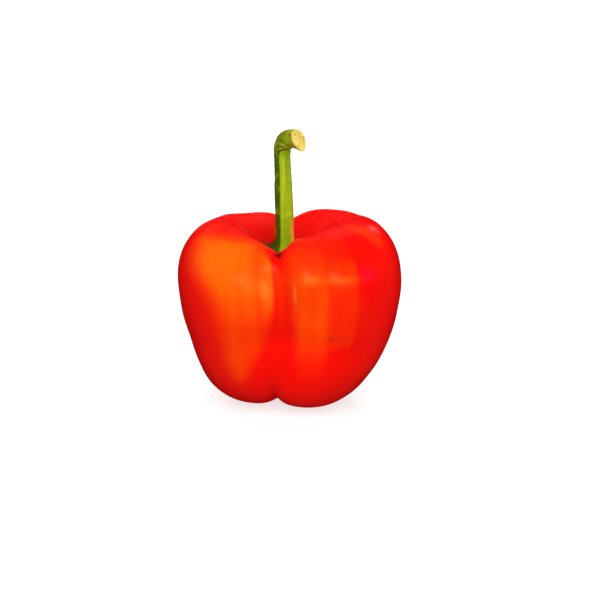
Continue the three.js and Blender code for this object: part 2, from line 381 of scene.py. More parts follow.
@dataclass(frozen=True)
class SkinFinish:
    """Glossy skin: deep red that ripens through vermilion patches to orange ones, partly painted reflection,
    with painted highlights and painted shade.

    Scales are in waves or cells per metre.
    """

    red: Colour = (0.88, 0.0015, 0.001)
    vermilion: Colour = (0.95, 0.036, 0.0005)
    orange: Colour = (1.0, 0.115, 0.0005)
    # Painted highlights in orange-yellow and pink, then painted shade and a darker mix of blemishes and
    # painted shadow.
    highlight_amber: Colour = (1.0, 0.26, 0.022)
    glint_pink: Colour = (0.95, 0.001, 0.026)
    shade: Colour = (0.4, 0.0015, 0.001)
    blemish_and_notch_shadow: Colour = (0.1, 0.001, 0.001)
    cork: Colour = (0.23, 0.14, 0.06)
    speck: Colour = (1.0, 0.16, 0.03)
    gloss_tint: Colour = (1.0, 0.5, 0.2)
    glow_depths: Colour = (1.0, 0.12, 0.05)
    streak_scale: float = 260.0
    broad_scale: float = 70.0
    cloud_scale: float = 55.0
    speck_scale: float = 620.0
    cork_scale: float = 900.0
    pore_scale: float = 1500.0
    speck_strength: float = 0.16
    smoothest: float = 0.2
    relief_depth: float = 0.00002

    def material(self) -> bpy.types.Material:
        """The skin's colour follows what the mesh says of its patches, painted highlights and painted shade,
        with streaks, clouds and specks.
        """
        board = NodeBoard("ripe_skin")
        own, streak_place = board.own_place(), board.place("streak_place")
        streak = board.cloud(streak_place, self.streak_scale, detail=4.0, lean=0.6)
        broad = board.cloud(streak_place, self.broad_scale)
        cloud = board.cloud(own, self.cloud_scale, lean=0.55)

        # From red through vermilion at half ripeness to orange, which is partly painted reflection, then
        # painted highlights in orange-yellow and pink.
        uneven = (streak - 0.5) * 0.9 + (broad - 0.5) * 1.1
        ripening_and_sheen_share = (board.value("ripening_and_sheen") * (1.0 + uneven) + (cloud - 0.5) * 0.16 + (broad - 0.5) * 0.1).kept()
        colour = board.blend((ripening_and_sheen_share * 2.0).kept(), self.red, self.vermilion)
        colour = board.blend((ripening_and_sheen_share * 2.0 - 1.0).kept(), colour, self.orange)
        colour = board.blend(board.value("painted_highlight").kept(), colour, self.highlight_amber)
        colour = board.blend(board.value("painted_pink_glint").kept(), colour, self.glint_pink)
        # Painted shade, then dark blemishes together with a painted shadow at the front valley's notch.
        shade = (board.value("shade") * (0.8 + cloud * 0.4)).kept()
        colour = board.blend(shade, colour, self.shade)
        colour = board.blend(board.value("blemish_and_notch_shadow").kept(), colour, self.blemish_and_notch_shadow)
        specks = board.dots(own, self.speck_scale)
        colour = board.blend((1.0 - specks.step(0.05, 0.2)) * self.speck_strength, colour, self.speck)
        crumbs = board.cloud(own, self.cork_scale, detail=4.0, lean=0.7)
        corky = (board.value("cork") * (0.6 + crumbs * 0.9)).kept()
        colour = board.blend(corky, colour, self.cork)

        pores = board.cloud(own, self.pore_scale, detail=2.0)
        height = pores * 0.5 + streak * 0.6 + (1.0 - specks.step(0.04, 0.16)) * 0.35
        return board.surface({
            "Base Color": colour,
            "Roughness": self.smoothest + cloud * 0.06 + streak * 0.05 + shade * 0.12 + corky * 0.4,
            "Normal": board.relief(height, self.relief_depth),
            "IOR": 1.45,
            "Specular IOR Level": 0.3,
            "Specular Tint": self.gloss_tint,
            "Subsurface Weight": 0.12,
            "Subsurface Radius": self.glow_depths,
            "Subsurface Scale": 0.003,
        })


@dataclass(frozen=True)
class CalyxFinish:
    """Leathery green leaf that browns towards its tips, with paler veins."""

    leaf: Colour = (0.045, 0.055, 0.002)
    vein: Colour = (0.09, 0.14, 0.006)
    tip: Colour = (0.07, 0.035, 0.005)
    collar: Colour = (0.12, 0.22, 0.004)
    cloud_scale: float = 260.0
    grain_scale: float = 1400.0
    relief_depth: float = 0.00012

    def material(self) -> bpy.types.Material:
        """Green with cloudy patches, pale along the veins and brown at the edge."""
        board = NodeBoard("calyx_leaf")
        own = board.own_place()
        cloud = board.cloud(own, self.cloud_scale, detail=4.0, lean=0.6)
        grain = board.cloud(own, self.grain_scale, lean=0.6)
        colour = board.blend((board.value("vein") * (0.4 + cloud * 0.6)).kept(), self.leaf, self.vein)
        colour = board.blend((board.value("collar") * (0.7 + cloud * 0.5)).kept(), colour, self.collar)
        browned = (board.value("rim") + (cloud - 0.5) * 0.7).step(0.55, 1.0)
        colour = board.blend(browned, colour, self.tip)
        return board.surface({
            "Base Color": colour,
            "Roughness": 0.55 + grain * 0.2,
            "Normal": board.relief(grain * 0.7 + cloud * 0.5, self.relief_depth),
            "Specular IOR Level": 0.04,
        })


@dataclass(frozen=True)
class StemFinish:
    """Fresh fibrous stem: bright yellow-green ribs, one dark green side that is partly painted shade, an
    olive hook with painted shadow in its folds, a painted orange bounce of the red fruit at its foot and a
    corky cut end.
    """

    green: Colour = (0.25, 0.41, 0.003)
    low_green: Colour = (0.19, 0.42, 0.002)
    bright: Colour = (0.46, 0.64, 0.02)
    dark: Colour = (0.04, 0.085, 0.001)
    olive: Colour = (0.3, 0.29, 0.01)
    brown: Colour = (0.075, 0.06, 0.008)
    # A painted orange bounce of the red fruit.
    painted_red_bounce: Colour = (0.78, 0.36, 0.05)
    speck: Colour = (0.12, 0.2, 0.002)
    pith: Colour = (0.86, 0.62, 0.14)
    pith_ring: Colour = (0.4, 0.26, 0.05)
    rind: Colour = (0.6, 0.46, 0.2)
    gloss_tint: Colour = (0.9, 1.0, 0.5)
    fibre_scale: float = 900.0
    band_scale: float = 240.0
    grain_scale: float = 1600.0
    patch_scale: float = 300.0
    relief_depth: float = 0.00014

    def material(self) -> bpy.types.Material:
        """Fibres along the stem, darker on one side as partly painted shade, with painted shadow in the
        folds, painted highlights on the crest of each fold and a painted bounce of the fruit's red at the
        foot, with the cut end's rings.
        """
        board = NodeBoard("stem_rind")
        along, own = board.place("fibre_place"), board.own_place()
        fibre = board.cloud(along, self.fibre_scale, detail=4.0, lean=0.6)
        band = board.cloud(along, self.band_scale, detail=2.0)
        grain = board.cloud(own, self.grain_scale, lean=0.6)
        patch = board.cloud(own, self.patch_scale)

        # Each line lays one colour over the last, by a share from the mesh broken up with noise.
        colour = board.blend(board.value("low").kept(), self.green, self.low_green)
        mottled_hook = board.value("hook") * (patch * 2.2 - 0.55 + (band - 0.5) * 1.4)
        for share, over in (
                # Pale ribs and a pale stripe, with painted highlights on the crest of each fold.
                (board.value("ridge") * (0.35 + fibre * 0.9), self.bright),
                ((band - 0.45) * 1.2, self.bright),
                # One dark green side, partly painted shade.
                (board.value("dark_and_shaded_flank") * (0.85 + fibre * 0.3), self.dark),
                ((grain - 0.52) * 2.4, self.speck),
                ((patch - 0.55) * 2.0, self.bright),
                (board.value("dull") * (0.5 + fibre), self.olive),
                (mottled_hook, self.olive),
                # Painted shadow in the hook's folds, the seat's rings and the hook's shaded side, with a
                # dark knot.
                (board.value("fold") * (0.6 + patch * 0.7), self.brown),
                # A painted orange bounce of the red fruit at the stem's foot.
                (board.value("painted_red_bounce"), self.painted_red_bounce)):
            colour = board.blend(share.kept(), colour, over)

        cut = board.value("cut")
        mottle = (patch - 0.48) * 2.6 + (grain - 0.5) * 2.4
        pith = board.blend((mottle + board.value("pith_ring") * 0.2).kept(), self.pith, self.pith_ring)
        pith = board.blend((board.value("rind") * (grain * 2.6 - 0.8)).kept(), pith, self.rind)
        return board.surface({
            "Base Color": board.blend(cut.kept(), colour, pith),
            "Roughness": 0.42 + fibre * 0.14 + cut * 0.3,
            "Normal": board.relief(fibre * 0.8 + grain * (0.25 + cut * 0.9), self.relief_depth),
            "Specular IOR Level": 0.18,
            "Specular Tint": self.gloss_tint,
        })


@dataclass(frozen=True)
class FloorFinish:
    """Matt white studio floor that is lit a little from below, which keeps the shadow soft."""

    colour: Colour = (0.3, 0.3, 0.3)
    cloud_scale: float = 4.0
    clouded: float = 0.985
    lit: float = 0.72

    def material(self) -> bpy.types.Material:
        """One pale matt colour with a very faint cloudiness."""
        board = NodeBoard("studio_floor")
        cloud = board.cloud(board.own_place(), self.cloud_scale, detail=2.0)
        pale = board.blend(cloud, self.colour, tuple(self.clouded * part for part in self.colour))
        return board.surface({"Base Color": pale, "Roughness": 0.9, "Specular IOR Level": 0.1,
                              "Emission Color": (1.0, 1.0, 1.0), "Emission Strength": self.lit})


# ---------------------------------------------------------------------------------------------
# Fruit
# ---------------------------------------------------------------------------------------------

@dataclass(frozen=True)
class Levels:
    """One value for each of the fruit's shoulder, waist and foot."""

    shoulder: Any
    waist: Any
    foot: Any


@dataclass(frozen=True)
class ColourPatch:
    """A patch of another colour on one lobe, between two edges that shift with the height.

    Heights are in millimetres, rising; the edges and their softness are in turns round the fruit. A
    single number holds at every height.
    """

    heights: tuple[float, ...]
    left: Any
    right: Any
    strength: tuple[float, ...]
    left_soft: Any
    right_soft: Any

    def at(self, height: Array, values: Any) -> Array:
        """The value at each height, on straight lines between the patch's own heights."""
        return np.interp(height, self.heights, np.broadcast_to(values, len(self.heights)))

    def mask(self, turn: Array, height: Array) -> Array:
        """The strength at each place: a smooth step over each edge, times the height's share."""
        inside = ease((turn - self.at(height, self.left)) / self.at(height, self.left_soft), -1.0, 1.0)
        past = ease((turn - self.at(height, self.right)) / self.at(height, self.right_soft), -1.0, 1.0)
        return inside * (1 - past) * self.at(height, self.strength)


@dataclass(frozen=True)
class Spot:
    """A small soft spot on the skin: its place and half sizes round and up the skin, and strength."""

    turn: float
    height: float
    half_turn: float
    half_height: float
    strength: float

    def mask(self, turn: Array, height: Array) -> Array:
        """A bell curve each way: the product of the two."""
        across = self.strength * bell(turn, self.turn, self.half_turn)
        return across * bell(height, self.height, self.half_height)


@dataclass(frozen=True)
class Fruit:
    """The four-lobed fruit: sections, valleys, lobes and dents in millimetres, as in the solid part.

    A dent's height is its depth, and a negative one is a swelling. Turns go round the fruit from 0 to
    4, with whole numbers in the valleys. Shares go along the section, from 0 in the middle of the stem
    cavity's floor to 1 at the blossom end.
    """

    ridge: tuple[Pair, ...] = (
        (0, 58.5), (5, 57.5), (10.5, 59.5), (13.5, 65), (20, 72.5), (27.5, 76.5), (37, 72), (44.5, 59.5),
        (44, 43.5), (40, 28), (33, 13.5), (23.5, 4.5), (12.5, 1.5), (5, 6), (0, 7))
    valley: tuple[Pair, ...] = (
        (0, 58.5), (5, 57.5), (9.5, 59), (13.5, 62.5), (19, 68), (26.5, 72.5), (34, 69.5), (37.5, 58.5),
        (37, 45), (34, 31), (27.5, 19.5), (19, 13), (11, 8), (5, 6), (0, 7))
    valley_azimuth: Four = (-91.5, 27.5, 87, 152)
    depth: Levels = Levels((1.5, 0.45, 1.5, 0.6), (1.7, 1.1, 1.1, 0.9), (0.4, 0.6, 0.8, 0.9))
    furrow: Levels = Levels((3.5, 0.5, 1, 0.4), (2.2, 1.2, 1.2, 1.2), (2.4, 1, 1, 1))
    reach: Levels = Levels((0.5, 2, -3, -2), (1.2, -0.3, -0.5, -2.6), (0.8, 0.6, 0.6, -0.4))
    shoulder_turn: Four = (-2.5, 0, 0, 0)
    foot_turn: Four = (-10, -11, 0, 0)
    shoulder_rise: Four = (-0.3, -3.5, -4, -1)
    foot_lift: Four = (0.2, 0.2, 0.1, 0.5)
    valley_rise: float = 0.3
    valley_reach: float = 0.5
    dents: tuple[Bump, ...] = (Bump(0.1, -1.6, 0.06), Bump(0.37, 0.8, 0.1), Bump(3.55, 0.5, 0.12))
    valley_soft: Levels = Levels(0.35, 0.55, 0.115)
    furrow_soft: Levels = Levels(0.015, 0.07, 0.03)
    furrow_width: Levels = Levels(0.1, 0.1, 0.046)
    shoulder_top: float = 75.5
    shoulder_band: Pair = (0.55, 0.92)
    foot_band: Pair = (0.06, 0.42)
    cavity_wall: Pair = (7, 22)
    furrow_start: Pair = (6, 15)
    foot_patch: float = 0.8
    crowding: float = 0.1
    solid_round: int = 64
    solid_rows: int = 42
    round_count: int = 448
    row_count: int = 204

    unevenness: float = 0.1
    uneven_start: Pair = (4, 16)
    nub: tuple[Bump, ...] = (Bump(0, 0.9, 1.3), Bump(2.6, -0.45, 0.8))
    nub_star: Bump = Bump(2, 0.12, 1)
    nub_points: int = 5
    press_soft: float = 0.2
    streak_radius: float = 30.0
    streak_stretch: float = 0.14

    outer_share: Pair = (0.33, 0.42)
    under_share: Pair = (0.8, 0.9)
    cork_radius: float = 2.2
    # Painted shade: darker in the stem cavity, in the valleys' creases and at the blossom end.
    wall_shade: float = 0.15
    floor_shade: float = 0.35
    floor_reach: Pair = (9, 24)
    crease_shade: Bump = Bump(0, 0.35, 0.03)
    under_shade: float = 0.35
    under_reach: Pair = (3, 15)
    # Painted shade along the front valley's notch, and a darker painted shadow at its tip.
    notch_shade: Spot = Spot(0, 0.375, 0.06, 0.03, 0.6)
    notch_shadow: Spot = Spot(0, 0.412, 0.019, 0.016, 1.3)
    groove_half_turn: float = 0.03
    groove_flush: tuple[Pair, ...] = ((34, 0), (45, 0.16), (57, 0.38), (61, 0.12), (63, 0))
    most_ripening_and_sheen: float = 1.1
    # Ripening orange. On the two front lobes it is partly painted reflection of a broad light; the fifth
    # patch, high on the right shoulder, is a painted highlight; the last two, on the far lobes, are ripening
    # colour only.
    ripening_and_sheen_patches: tuple[ColourPatch, ...] = (
        ColourPatch((15, 20, 27, 38, 46, 52, 63, 69, 73),
                    (3.79, 3.76, 3.73, 3.73, 3.72, 3.7, 3.58, 3.54, 3.56),
                    (3.82, 3.85, 3.87, 3.92, 3.955, 3.966, 3.966, 3.91, 3.78),
                    (0, 0.4, 0.52, 0.58, 0.84, 1.0, 1.0, 0.86, 0.0),
                    (0.04, 0.05, 0.06, 0.07, 0.09, 0.12, 0.12, 0.07, 0.05),
                    (0.04, 0.045, 0.05, 0.045, 0.02, 0.012, 0.012, 0.03, 0.05)),
        ColourPatch((53, 57, 64, 67, 70, 72.5), (0.03, 0.03, 0.045, 0.06, 0.12, 0.2),
                    (0.322, 0.322, 0.32, 0.3, 0.28, 0.27), (0, 0.48, 0.12, 0.0, 0, 0),
                    (0.03, 0.03, 0.03, 0.03, 0.04, 0.05), (0.012, 0.012, 0.012, 0.02, 0.06, 0.06)),
        ColourPatch((16, 26, 30, 36, 42, 57, 63, 69), (0.14, 0.1, 0.085, 0.07, 0.055, 0.035, 0.04, 0.05),
                    (0.21, 0.22, 0.22, 0.215, 0.21, 0.21, 0.21, 0.21),
                    (0, 0.1, 0.26, 0.48, 0.54, 0.54, 0.42, 0.14), 0.03,
                    (0.03, 0.03, 0.02, 0.014, 0.014, 0.014, 0.03, 0.05)),
        ColourPatch((30, 33, 53, 57, 62, 66), 0.2, (0.312, 0.314, 0.316, 0.32, 0.32, 0.31),
                    (0, 0.22, 0.24, 0.5, 0.36, 0.1), 0.02, (0.014, 0.012, 0.012, 0.012, 0.012, 0.02)),
        # A painted highlight: an orange streak along the right shoulder.
        ColourPatch((65, 68, 72, 74.5, 76), (0.47, 0.46, 0.42, 0.375, 0.37), (0.5, 0.53, 0.49, 0.45, 0.42),
                    (0, 0.25, 0.38, 0.35, 0), 0.02, 0.02),
        ColourPatch((18, 30, 45, 60, 70, 74), (1.42, 1.38, 1.33, 1.28, 1.3, 1.4),
                    (1.6, 1.68, 1.74, 1.76, 1.7, 1.6), (0, 0.35, 0.55, 0.62, 0.45, 0),
                    (0.06, 0.07, 0.07, 0.07, 0.07, 0.07), 0.05),
        ColourPatch((16, 28, 45, 60, 69, 73), (2.35, 2.3, 2.24, 2.2, 2.24, 2.35),
                    (2.56, 2.66, 2.74, 2.72, 2.66, 2.55), (0, 0.3, 0.5, 0.6, 0.45, 0), 0.05, 0.07),
    )
    # Painted highlights: soft orange-yellow spots where lights glint on the front lobes.
    painted_highlights: tuple[Spot, ...] = (
        Spot(3.925, 53.5, 0.022, 3.4, 0.55), Spot(3.86, 55.0, 0.04, 3.0, 0.22),
        Spot(0.136, 58.0, 0.035, 2.0, 0.45), Spot(0.25, 57.5, 0.06, 1.2, 0.25),
        Spot(0.068, 52.0, 0.006, 3.6, 0.5), Spot(3.7, 62.0, 0.12, 6.0, 0.1),
    )
    # A painted pink glint on the right lobe.
    painted_pink_glints: tuple[Spot, ...] = (Spot(0.365, 58.5, 0.03, 2.2, 0.75),)
    blemishes: tuple[Spot, ...] = (
        Spot(0.224, 35.3, 0.012, 0.9, 0.35), Spot(1.62, 40.0, 0.01, 0.8, 0.3),
        Spot(2.4, 30.0, 0.012, 0.7, 0.3), Spot(3.28, 44.0, 0.01, 0.7, 0.25),
    )

    def skin(self, turn: Array, share: Array) -> Array:
        """Points of the skin in millimetres, before it is moved into place.

        Each height has a point on the ridge section and one on the valley section. The skin lies between
        them, at the valley in the middle of a valley and at the ridge in the middle of a lobe. A furrow
        and the dents press it in along the section's normal. Then each lobe has its own reach and rise.

        Args:
            turn: places round the fruit.
            share: places along the section.

        Returns:
            The points, with a last axis of x, y and z.
        """
        ridge, normal = section_at(self.ridge, share)
        valley, _ = section_at(self.valley, share)
        level = ridge[..., 1] / self.shoulder_top
        shoulder = ease(level, *self.shoulder_band)
        foot = 1 - ease(level, *self.foot_band)
        waist = 1 - shoulder - foot

        def at_level(parts: Levels) -> Array:
            """The three levels' numbers in the proportions felt at each height."""
            return parts.shoulder * shoulder + parts.waist * waist + parts.foot * foot

        def round_level(parts: Levels, at: Array) -> Array:
            """The same for three waves round the fruit."""
            return at_level(Levels(*(wave(four, at) for four in (parts.shoulder, parts.waist, parts.foot))))

        offset = np.abs(turn - np.round(turn))
        soft = at_level(self.valley_soft)
        climb = (np.hypot(2 * offset, soft) - soft) / (np.hypot(1, soft) - soft)
        swell = climb * (2 - climb)
        sunk = (1 - swell) * round_level(self.depth, turn)
        radius = ridge[..., 0] + (valley[..., 0] - ridge[..., 0]) * sunk
        height = ridge[..., 1] + (valley[..., 1] - ridge[..., 1]) * sunk

        rim = ease(radius, *self.cavity_wall)
        crease = at_level(self.furrow_soft)
        groove = np.exp((crease - np.hypot(offset, crease)) / at_level(self.furrow_width))
        press = round_level(self.furrow, turn) * groove * ease(radius, *self.furrow_start)
        press = press + bumps(turn, self.dents) * rim * (1 - foot)
        radius = radius - press * normal[..., 0]
        height = height - press * normal[..., 1]

        lobe = turn - 0.5
        kept_rise = self.valley_rise + (1 - self.valley_rise) * swell
        kept_reach = self.valley_reach + (1 - self.valley_reach) * swell
        height = height + wave(self.shoulder_rise, lobe) * shoulder * rim * kept_rise
        height = height + wave(self.foot_lift, lobe) * foot * rim * swell
        radius = radius + rim * round_level(self.reach, lobe) * kept_reach
        first = self.valley_azimuth[0]
        shifts = [azimuth - (first + 90 * i) for i, azimuth in enumerate(self.valley_azimuth)]
        swing = wave(self.shoulder_turn, turn) * shoulder + wave(self.foot_turn, turn) * foot
        azimuth = np.radians(first + 90 * turn + wave(shifts, turn) + swing)
        return np.stack([radius * np.cos(azimuth), radius * np.sin(azimuth), height], -1)

    def turns(self, count: int) -> Array:
        """Places round the fruit, drawn together near the valleys by a small sine."""
        even = TURNS * np.arange(count) / count
        return even - self.crowding * np.sin(2 * math.pi * even)

    def place_in_frame(self) -> Array:
        """The move, in millimetres, that brings this skin onto the solid part's fruit."""
        share = np.arange(1, self.solid_rows) / self.solid_rows
        coarse = self.skin(self.turns(self.solid_round)[None, :], share[:, None])
        floor = coarse[..., 2].min() + self.foot_patch
        low, high = (np.array(corner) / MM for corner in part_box("fruit"))
        flat = coarse.reshape(-1, 3)
        middle = (flat.min(0) + flat.max(0)) / 2
        move = (low + high) / 2 - middle
        move[2] = low[2] - floor
        return move

    def roughened(self, grid: Array, turn: Array, under: Array) -> Array:
        """The skin with soft waves pushed out of it and a corky nub in a crease at the blossom end.

        Args:
            grid: points of the smooth skin.
            turn: places round the fruit.
            under: 1 at the blossom end and 0 away from it.

        Returns:
            The new points.
        """
        radius = np.hypot(grid[..., 0], grid[..., 1])
        outwards = grid_normals(grid)
        outwards *= np.sign((outwards * (grid - grid.mean((0, 1)))).sum())
        waves = self.unevenness * ripples(grid, count=24, shortest=9.0, longest=26.0, seed=SEED)
        grid = grid + outwards * (waves * ease(radius, *self.uneven_start))[..., None]
        star = np.cos(self.nub_points * turn * math.pi / 2)
        grid[..., 2] -= (bumps(radius, self.nub) + star * bumps(radius, [self.nub_star])) * under
        return grid

    def marks(self, turn: Array, share: Array, radius: Array, height: Array) -> dict[str, Array]:
        """What the finish needs to know at each place: patches of ripening colour that are partly painted
        reflection, painted highlights, painted shade in the cavity, creases and blossom end, blemishes with
        a painted shadow at the notch, and cork.

        Args:
            turn: places round the fruit.
            share: places along the section.
            radius: distances from the fruit's axis.
            height: heights in millimetres.

        Returns:
            Attributes by name.
        """
        outer, under = ease(share, *self.outer_share), ease(share, *self.under_share)
        offset = np.abs(turn - np.round(turn))
        front = np.minimum(turn, TURNS - turn)

        def spotted(spots: Sequence[Spot]) -> Array:
            """The sum of spots on the outside of the fruit."""
            return sum(spot.mask(turn, height) for spot in spots) * outer

        # Ripening colour that is partly painted reflection and, high on the right shoulder, a painted
        # highlight streak.
        ripening_and_sheen = np.max([patch.mask(turn, height) for patch in self.ripening_and_sheen_patches], axis=0)
        ripening_and_sheen = ripening_and_sheen + bell(front, 0, self.groove_half_turn) * np.interp(height, *zip(*self.groove_flush))
        # Painted shade in the stem cavity, along the valleys, at the blossom end and along the front
        # valley's notch.
        shade = (self.wall_shade + self.floor_shade * (1 - ease(radius, *self.floor_reach))) * (1 - outer)
        shade = shade + bumps(offset, [self.crease_shade]) * (1 - outer)
        shade = shade + under * self.under_shade * (1 - ease(radius, *self.under_reach))
        shade = shade + self.notch_shade.mask(front, share)
        # Dark blemishes, and a painted shadow at the tip of the front valley's notch.
        blemish_and_notch_shadow = spotted(self.blemishes) + self.notch_shadow.mask(front, share)
        return {
            "ripening_and_sheen": np.clip(ripening_and_sheen * outer, 0, self.most_ripening_and_sheen),
            "painted_highlight": spotted(self.painted_highlights),
            "painted_pink_glint": spotted(self.painted_pink_glints),
            "shade": np.clip(shade, 0, 1),
            "blemish_and_notch_shadow": np.clip(blemish_and_notch_shadow, 0, 1),
            "cork": under * bell(radius, 0, self.cork_radius),
        }

    def build(self, move: Array) -> bpy.types.Object:
        """The skin as one fine closed mesh that carries its colour patches.

        Args:
            move: the move into the frame, in millimetres.

        Returns:
            The fruit's object.
        """
        turn = self.turns(self.round_count)[None, :]
        share = (np.arange(1, self.row_count) / self.row_count)[:, None]
        grid = self.skin(turn, share)
        turn = np.broadcast_to(turn, grid.shape[:2])
        values = self.marks(turn, share, np.hypot(grid[..., 0], grid[..., 1]), grid[..., 2])
        grid = self.roughened(grid, turn, ease(share, *self.under_share))
        azimuth = np.arctan2(grid[..., 1], grid[..., 0])
        steps = np.linalg.norm(np.diff(grid, axis=0, prepend=grid[:1]), axis=-1)
        drawn_out = self.streak_stretch * np.cumsum(steps, axis=0)
        values["streak_place"] = on_cylinder(azimuth, drawn_out, self.streak_radius) * MM

        grid = grid + move
        ends = self.skin(np.zeros(2), np.array([0.0, 1.0])) + move
        ends[1, 2] -= self.nub[0].height
        # The feet are pressed flat: a soft choice of the greater of the height and 0.
        grid[..., 2] = 0.5 * (grid[..., 2] + np.hypot(grid[..., 2], self.press_soft))
        return closed_body("fruit_skin", ends[0] * MM, grid * MM, ends[1] * MM, values)


# ---------------------------------------------------------------------------------------------
# Calyx
# ---------------------------------------------------------------------------------------------

@dataclass(frozen=True)
class Calyx:
    """The leafy disc under the stem: it lies on the cavity's floor and runs out in short pointed tips.

    Sizes are in millimetres, and the veins lie at shares of the way from one gap to the next.
    """

    fruit: Fruit = field(default_factory=Fruit)
    reach: Four = (11.5, 9.5, 11.5, 13)
    tip_length: float = 3.0
    tip_share: float = 0.35
    tips: int = 6
    waver: float = 0.25
    gap: float = 0.35
    rim_thickness: float = 0.7
    middle_thickness: float = 1.5
    boss_height: float = 60.4
    boss_radius: float = 5.0
    boss_foot: float = 8.2
    round_count: int = 288
    row_count: int = 44
    vein_height: float = 0.28
    main_vein: Bump = Bump(0.5, 1.0, 0.06)
    main_vein_start: Pair = (4.5, 7)
    side_veins: tuple[Bump, ...] = (Bump(0.2, 1.0, 0.03), Bump(0.8, 1.0, 0.03))
    side_vein_start: Pair = (5, 8)
    unevenness: float = 0.1
    uneven_start: Pair = (5, 7)
    curl: Bump = Bump(0.5, 0.55, 0.3)
    curl_start: Pair = (0.7, 1.0)
    collar_edge: Pair = (5.5, 8)

    def edge(self, turn: Array) -> Array:
        """How far along the skin the disc reaches: a squared triangle wave makes the tips."""
        phase = (turn / TURNS * self.tips) % 1
        tip = (1 - np.abs(2 * phase - 1)) ** 2
        spacing = self.fruit.ridge[2][0] / 2
        waver = self.waver * np.sin(3 * turn * math.pi / 2 + 1.0)
        reach = wave(self.reach, turn) + self.tip_length * (tip - self.tip_share) + waver
        return reach / (spacing * (len(self.fruit.ridge) - 1))

    def build(self, move: Array) -> bpy.types.Object:
        """The disc as one closed mesh: its upper side out to the edge, and its lower side back.

        Args:
            move: the move into the frame, in millimetres.

        Returns:
            The calyx's object.
        """
        turn = (TURNS * np.arange(self.round_count) / self.round_count)[None, :]
        part = (np.arange(1, self.row_count + 1) / self.row_count)[:, None]
        share = part * self.edge(turn)
        lower = self.fruit.skin(np.broadcast_to(turn, share.shape), share)
        lower[..., 2] += self.gap
        radius = np.hypot(lower[..., 0], lower[..., 1])
        phase = (turn / TURNS * self.tips) % 1
        middle = bumps(phase, [self.main_vein]) * ease(radius, *self.main_vein_start)
        beside = bumps(phase, self.side_veins) * ease(radius, *self.side_vein_start) * (1 - part)

        # From the boss under the stem, a smooth step down to the leaf, whose thickness falls to the rim.
        upper = lower.copy()
        leaf = lower[..., 2] + self.middle_thickness + (self.rim_thickness - self.middle_thickness) * part
        down = ease(radius, self.boss_radius, self.boss_foot)
        uneven = self.unevenness * ripples(lower, count=16, shortest=2.0, longest=6.0, seed=SEED + 1)
        upper[..., 2] = self.boss_height + (leaf - self.boss_height) * down
        upper[..., 2] += self.vein_height * (middle * (1 - 0.5 * part) + 0.5 * beside)
        upper[..., 2] += uneven * ease(radius, *self.uneven_start)
        lift = ease(part, *self.curl_start) * bumps(phase, [self.curl])
        upper[..., 2] += lift
        lower[..., 2] += lift
        rings = np.concatenate([upper, lower[::-1]])
        ends = self.fruit.skin(np.zeros(2), np.zeros(2)) + move
        ends[0, 2] = self.boss_height + move[2]
        ends[1, 2] += self.gap
        marks = {
            "vein": np.clip(middle + 0.6 * beside, 0, 1),
            "rim": np.broadcast_to(part, share.shape) ** 3,
            "collar": 1 - ease(radius, *self.collar_edge),
        }
        both = {key: np.concatenate([value, value[::-1]]) for key, value in marks.items()}
        return closed_body("calyx_leaves", ends[0] * MM, (rings + move) * MM, ends[1] * MM, both)


# ---------------------------------------------------------------------------------------------
# Stem
# ---------------------------------------------------------------------------------------------

